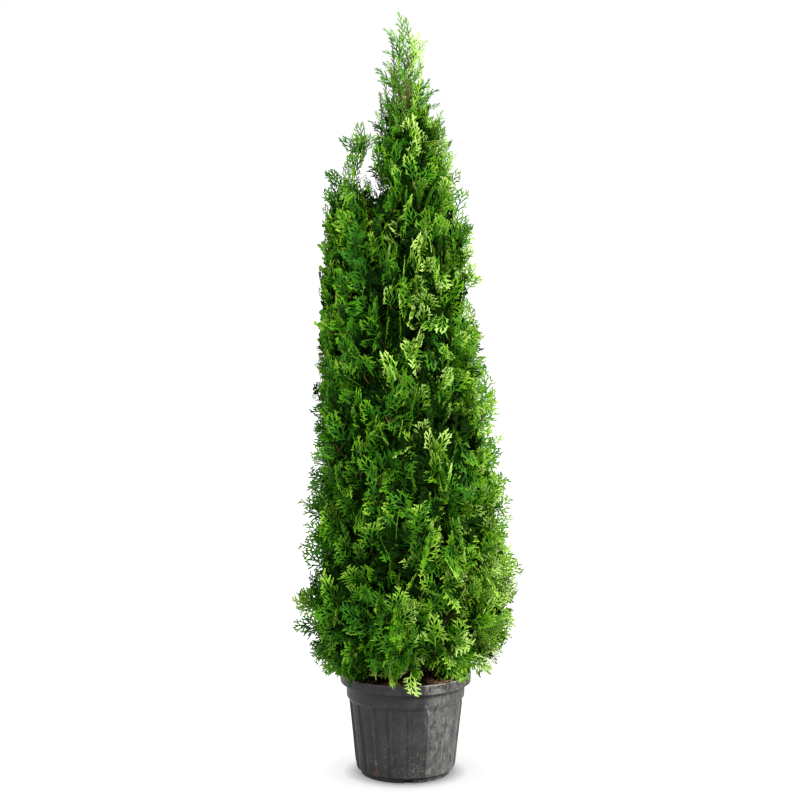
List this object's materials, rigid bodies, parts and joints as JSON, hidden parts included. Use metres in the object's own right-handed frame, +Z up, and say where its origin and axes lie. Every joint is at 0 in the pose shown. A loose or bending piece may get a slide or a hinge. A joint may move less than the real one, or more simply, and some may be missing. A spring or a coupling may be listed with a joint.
{
  "type": "potted columnar conifer",
  "caption": "Tall narrow evergreen conifer with upright flat scaly sprays and a side leader, growing in a round ribbed black nursery pot.",
  "frame": {"origin": "centre of the pot's flat underside, on the floor", "axes": "+Z up along the trunk, +X to the viewer's right, the front towards -Y"},
  "size_m": [0.5528, 0.5514, 1.845],
  "materials": {
    "pot_plastic": "dusty matt black",
    "potting_mix": "crumbly, moist",
    "bark": "fibrous reddish bark",
    "scale_foliage": "satin scale leaves"
  },
  "bodies": {
    "root": {"bough_skirt_1": "bark", "foliage_skirt_1": "scale_foliage", "bough_skirt_2": "bark", "foliage_skirt_2": "scale_foliage", "bough_skirt_3": "bark", "foliage_skirt_3": "scale_foliage", "bough_skirt_4": "bark", "foliage_skirt_4": "scale_foliage", "bough_skirt_5": "bark", "foliage_skirt_5": "scale_foliage", "bough_low_1": "bark", "foliage_low_1": "scale_foliage", "bough_low_2": "bark", "foliage_low_2": "scale_foliage", "bough_low_3": "bark", "foliage_low_3": "scale_foliage", "bough_low_4": "bark", "foliage_low_4": "scale_foliage", "bough_low_5": "bark", "foliage_low_5": "scale_foliage", "bough_middle_1": "bark", "foliage_middle_1": "scale_foliage", "bough_middle_2": "bark", "foliage_middle_2": "scale_foliage", "bough_middle_3": "bark", "foliage_middle_3": "scale_foliage", "bough_middle_4": "bark", "foliage_middle_4": "scale_foliage", "bough_middle_5": "bark", "foliage_middle_5": "scale_foliage", "bough_shoulder_1": "bark", "foliage_shoulder_1": "scale_foliage", "bough_shoulder_2": "bark", "foliage_shoulder_2": "scale_foliage", "bough_shoulder_3": "bark", "foliage_shoulder_3": "scale_foliage", "bough_shoulder_4": "bark", "foliage_shoulder_4": "scale_foliage", "bough_upper_1": "bark", "foliage_upper_1": "scale_foliage", "bough_upper_2": "bark", "foliage_upper_2": "scale_foliage", "bough_upper_3": "bark", "foliage_upper_3": "scale_foliage", "bough_neck_1": "bark", "foliage_neck_1": "scale_foliage", "bough_neck_2": "bark", "foliage_neck_2": "scale_foliage", "bough_neck_3": "bark", "foliage_neck_3": "scale_foliage", "foliage_crown_1": "scale_foliage", "foliage_crown_2": "scale_foliage", "foliage_leader": "scale_foliage", "foliage_side_outer": "scale_foliage", "foliage_side_inner": "scale_foliage", "foliage_side_tip": "scale_foliage", "pot": "pot_plastic", "soil": "potting_mix", "trunk": "bark", "side_stem": "bark"}
  },
  "joints": []
}
